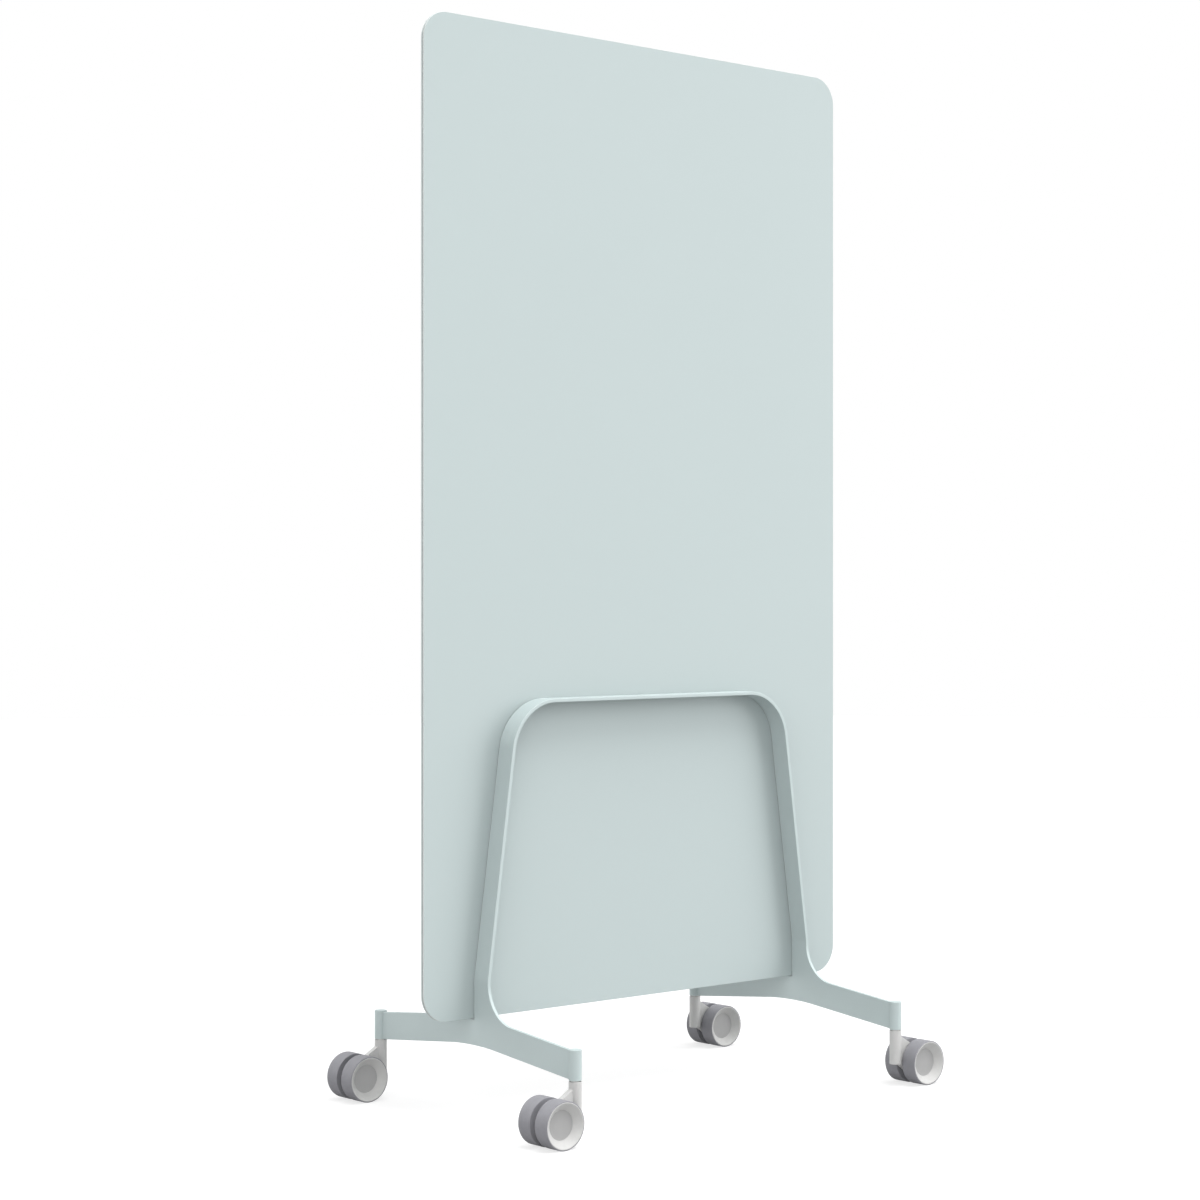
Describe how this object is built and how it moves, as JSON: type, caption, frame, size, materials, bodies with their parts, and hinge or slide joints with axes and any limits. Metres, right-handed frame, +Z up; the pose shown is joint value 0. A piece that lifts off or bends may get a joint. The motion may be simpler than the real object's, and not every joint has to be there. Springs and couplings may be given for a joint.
{
  "type": "mobile glass whiteboard",
  "caption": "Tall two-sided glass writing board with round corners, held between bent bar hoops on arched feet with swivel castors.",
  "frame": {"origin": "on the floor under the middle of the board", "axes": "+X to the right along the board seen from its front, +Y from the front to the rear, +Z up"},
  "size_m": [1, 0.6164, 1.909],
  "materials": {
    "coloured_glass": "back-painted glass, pale blue-green, gloss",
    "sheet_steel": "plain sheet",
    "powder_coat": "fine matt powder coat, pale blue-green",
    "bond_tape": "matt",
    "seat_rubber": "matt",
    "bright_steel": "bright zinc",
    "white_nylon": "moulded, satin",
    "tread_rubber": "matt grey tread",
    "cap_plastic": "moulded, satin"
  },
  "bodies": {
    "board": {"front_glass": "coloured_glass", "rear_glass": "coloured_glass", "steel_core": "sheet_steel", "front_hoop": "powder_coat", "rear_hoop": "powder_coat", "front_bonding_strip": "bond_tape", "rear_bonding_strip": "bond_tape", "left_foot": "powder_coat", "right_foot": "powder_coat", "left_glass_seat": "seat_rubber", "right_glass_seat": "seat_rubber", "front_left_socket": "powder_coat", "front_left_stem": "bright_steel", "front_left_stem_ring": "bright_steel", "rear_left_socket": "powder_coat", "rear_left_stem": "bright_steel", "rear_left_stem_ring": "bright_steel", "front_right_socket": "powder_coat", "front_right_stem": "bright_steel", "front_right_stem_ring": "bright_steel", "rear_right_socket": "powder_coat", "rear_right_stem": "bright_steel", "rear_right_stem_ring": "bright_steel"},
    "front_left_castor": {"front_left_housing": "white_nylon", "front_left_axle": "bright_steel", "front_left_push_nut": "bright_steel"},
    "front_left_outer_wheel": {"front_left_outer_rim": "white_nylon", "front_left_outer_tyre": "tread_rubber", "front_left_outer_cap": "cap_plastic"},
    "front_left_inner_wheel": {"front_left_inner_rim": "white_nylon", "front_left_inner_tyre": "tread_rubber", "front_left_inner_cap": "cap_plastic"},
    "rear_left_castor": {"rear_left_housing": "white_nylon", "rear_left_axle": "bright_steel", "rear_left_push_nut": "bright_steel"},
    "rear_left_outer_wheel": {"rear_left_outer_rim": "white_nylon", "rear_left_outer_tyre": "tread_rubber", "rear_left_outer_cap": "cap_plastic"},
    "rear_left_inner_wheel": {"rear_left_inner_rim": "white_nylon", "rear_left_inner_tyre": "tread_rubber", "rear_left_inner_cap": "cap_plastic"},
    "front_right_castor": {"front_right_housing": "white_nylon", "front_right_axle": "bright_steel", "front_right_push_nut": "bright_steel"},
    "front_right_outer_wheel": {"front_right_outer_rim": "white_nylon", "front_right_outer_tyre": "tread_rubber", "front_right_outer_cap": "cap_plastic"},
    "front_right_inner_wheel": {"front_right_inner_rim": "white_nylon", "front_right_inner_tyre": "tread_rubber", "front_right_inner_cap": "cap_plastic"},
    "rear_right_castor": {"rear_right_housing": "white_nylon", "rear_right_axle": "bright_steel", "rear_right_push_nut": "bright_steel"},
    "rear_right_outer_wheel": {"rear_right_outer_rim": "white_nylon", "rear_right_outer_tyre": "tread_rubber", "rear_right_outer_cap": "cap_plastic"},
    "rear_right_inner_wheel": {"rear_right_inner_rim": "white_nylon", "rear_right_inner_tyre": "tread_rubber", "rear_right_inner_cap": "cap_plastic"}
  },
  "joints": [
    {"name": "front_left_swivel", "type": "hinge", "parent": "board", "child": "front_left_castor", "pos_m": [-0.3884, -0.2715, 0.1], "axis": [0, 0, 1], "continuous": true},
    {"name": "front_left_outer_spin", "type": "hinge", "parent": "front_left_castor", "child": "front_left_outer_wheel", "pos_m": [-0.4401, -0.2715, 0.0409], "axis": [0, 1, 0], "continuous": true},
    {"name": "front_left_inner_spin", "type": "hinge", "parent": "front_left_castor", "child": "front_left_inner_wheel", "pos_m": [-0.4401, -0.2715, 0.0409], "axis": [0, 1, 0], "continuous": true},
    {"name": "rear_left_swivel", "type": "hinge", "parent": "board", "child": "rear_left_castor", "pos_m": [-0.3884, 0.2715, 0.1], "axis": [0, 0, 1], "continuous": true},
    {"name": "rear_left_outer_spin", "type": "hinge", "parent": "rear_left_castor", "child": "rear_left_outer_wheel", "pos_m": [-0.4401, 0.2715, 0.0409], "axis": [0, 1, 0], "continuous": true},
    {"name": "rear_left_inner_spin", "type": "hinge", "parent": "rear_left_castor", "child": "rear_left_inner_wheel", "pos_m": [-0.4401, 0.2715, 0.0409], "axis": [0, 1, 0], "continuous": true},
    {"name": "front_right_swivel", "type": "hinge", "parent": "board", "child": "front_right_castor", "pos_m": [0.3884, -0.2715, 0.1], "axis": [0, 0, 1], "continuous": true},
    {"name": "front_right_outer_spin", "type": "hinge", "parent": "front_right_castor", "child": "front_right_outer_wheel", "pos_m": [0.4401, -0.2715, 0.0409], "axis": [0, 1, 0], "continuous": true},
    {"name": "front_right_inner_spin", "type": "hinge", "parent": "front_right_castor", "child": "front_right_inner_wheel", "pos_m": [0.4401, -0.2715, 0.0409], "axis": [0, 1, 0], "continuous": true},
    {"name": "rear_right_swivel", "type": "hinge", "parent": "board", "child": "rear_right_castor", "pos_m": [0.3884, 0.2715, 0.1], "axis": [0, 0, 1], "continuous": true},
    {"name": "rear_right_outer_spin", "type": "hinge", "parent": "rear_right_castor", "child": "rear_right_outer_wheel", "pos_m": [0.4401, 0.2715, 0.0409], "axis": [0, 1, 0], "continuous": true},
    {"name": "rear_right_inner_spin", "type": "hinge", "parent": "rear_right_castor", "child": "rear_right_inner_wheel", "pos_m": [0.4401, 0.2715, 0.0409], "axis": [0, 1, 0], "continuous": true}
  ]
}
